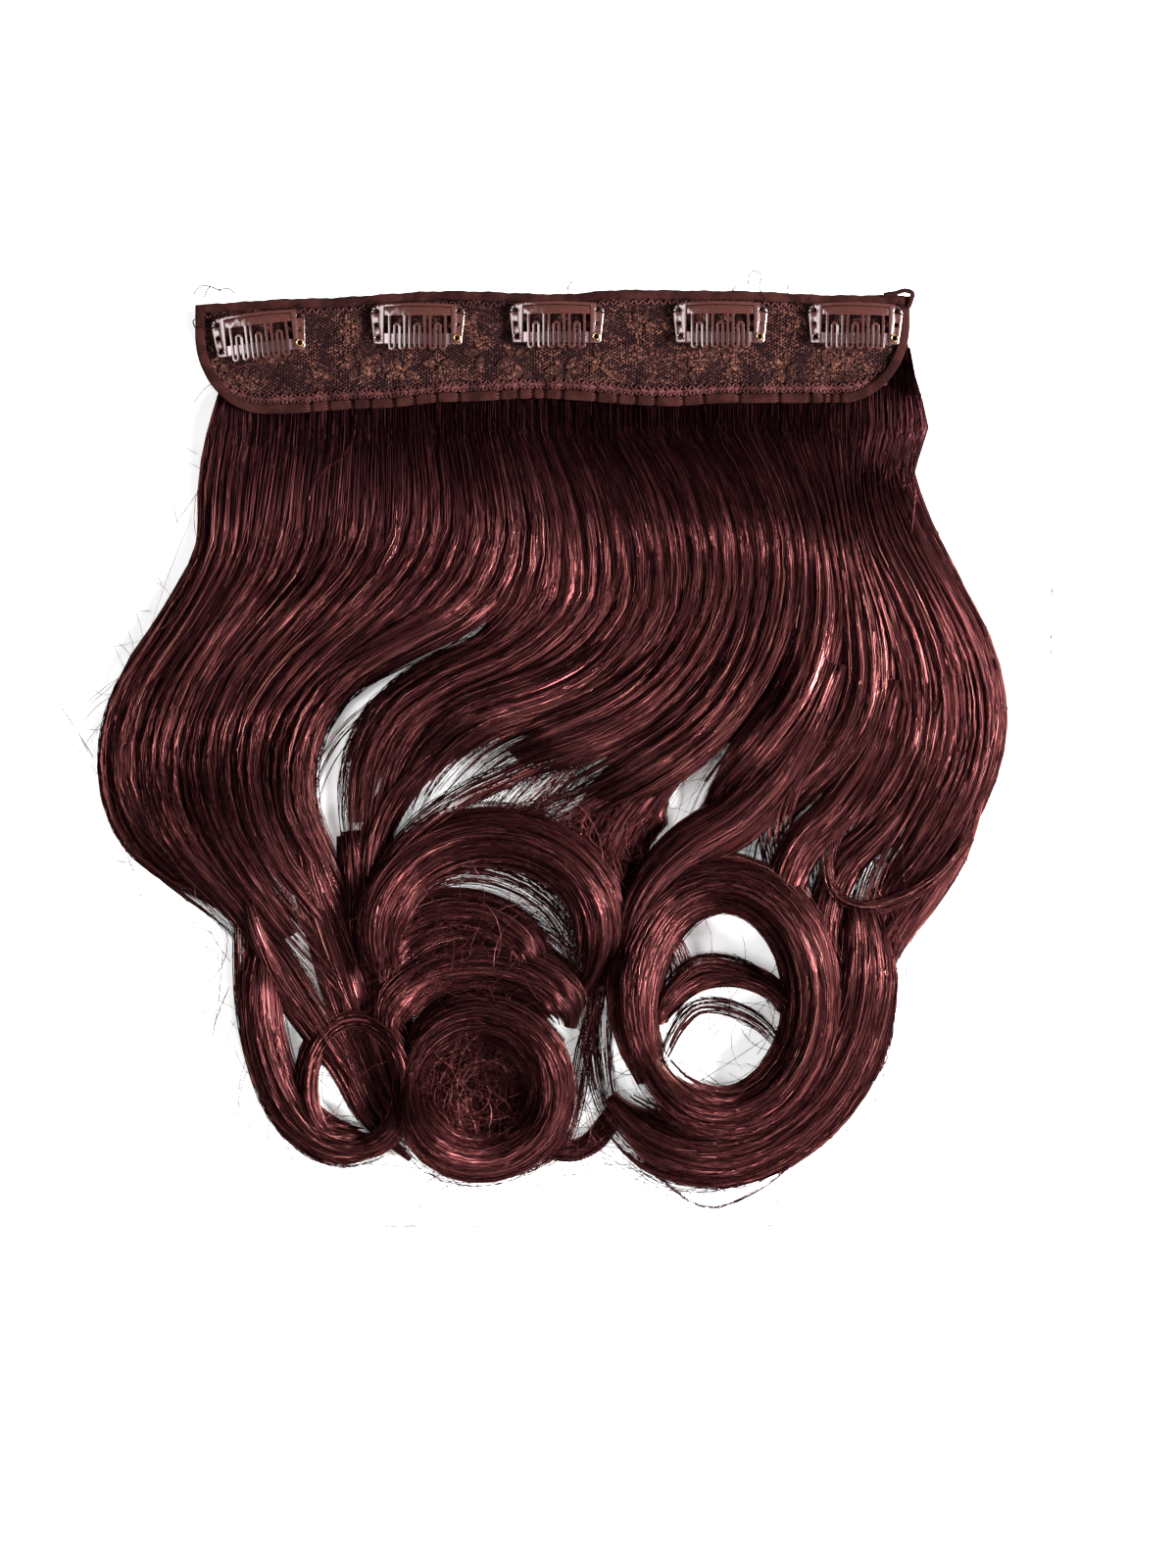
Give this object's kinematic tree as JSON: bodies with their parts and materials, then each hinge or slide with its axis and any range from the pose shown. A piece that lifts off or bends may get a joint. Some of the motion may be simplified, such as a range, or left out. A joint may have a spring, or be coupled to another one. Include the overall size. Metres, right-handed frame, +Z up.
{
  "type": "clip-in hair extension",
  "caption": "Long wavy hair piece on a lace band with a gathered hem tape and a row of snap clips, lying flat with its ends curled into rings.",
  "frame": {"origin": "on the surface that the hair lies on, under the middle of the whole piece", "axes": "+X along the band to the right, +Y from the curls to the band, +Z up from the surface"},
  "size_m": [0.3068, 0.3031, 0.03],
  "materials": {
    "hair": "combed glossy strands, very dark burgundy",
    "lace": "brown floral lace over dark net",
    "tape": "satin elastic tape, brown",
    "enamel": "glossy dark brown enamel on spring steel",
    "strip": "satin grey-brown lacquer on steel",
    "eyelet": "dulled brass, the left ones painted over"
  },
  "bodies": {
    "extension": {"hair": "hair", "lace_panel": "lace", "top_tape": "tape", "hem_tape": "tape", "clip_1_frame": "enamel", "clip_1_strip": "strip", "clip_1_eyelet_left": "eyelet", "clip_1_eyelet_right": "eyelet", "clip_2_frame": "enamel", "clip_2_strip": "strip", "clip_2_eyelet_left": "eyelet", "clip_2_eyelet_right": "eyelet", "clip_3_frame": "enamel", "clip_3_strip": "strip", "clip_3_eyelet_left": "eyelet", "clip_3_eyelet_right": "eyelet", "clip_4_frame": "enamel", "clip_4_strip": "strip", "clip_4_eyelet_left": "eyelet", "clip_4_eyelet_right": "eyelet", "clip_5_frame": "enamel", "clip_5_strip": "strip", "clip_5_eyelet_left": "eyelet", "clip_5_eyelet_right": "eyelet"},
    "comb_1": {"clip_1_comb": "enamel"},
    "comb_2": {"clip_2_comb": "enamel"},
    "comb_3": {"clip_3_comb": "enamel"},
    "comb_4": {"clip_4_comb": "enamel"},
    "comb_5": {"clip_5_comb": "enamel"}
  },
  "joints": [
    {"name": "clip_1_snap", "type": "hinge", "parent": "extension", "child": "comb_1", "pos_m": [-0.09996, 0.14209, 0.0129], "axis": [-0.9936, -0.1132, 0], "range_deg": [0, 30]},
    {"name": "clip_2_snap", "type": "hinge", "parent": "extension", "child": "comb_2", "pos_m": [-0.04567, 0.14524, 0.0129], "axis": [-1, 0, 0], "range_deg": [0, 30]},
    {"name": "clip_3_snap", "type": "hinge", "parent": "extension", "child": "comb_3", "pos_m": [0.00136, 0.1458, 0.0129], "axis": [-1, 0, 0], "range_deg": [0, 30]},
    {"name": "clip_4_snap", "type": "hinge", "parent": "extension", "child": "comb_4", "pos_m": [0.0567, 0.1458, 0.0129], "axis": [-1, 0, 0], "range_deg": [0, 30]},
    {"name": "clip_5_snap", "type": "hinge", "parent": "extension", "child": "comb_5", "pos_m": [0.10247, 0.14542, 0.0129], "axis": [-0.9998, 0.0174, 0], "range_deg": [0, 30]}
  ]
}
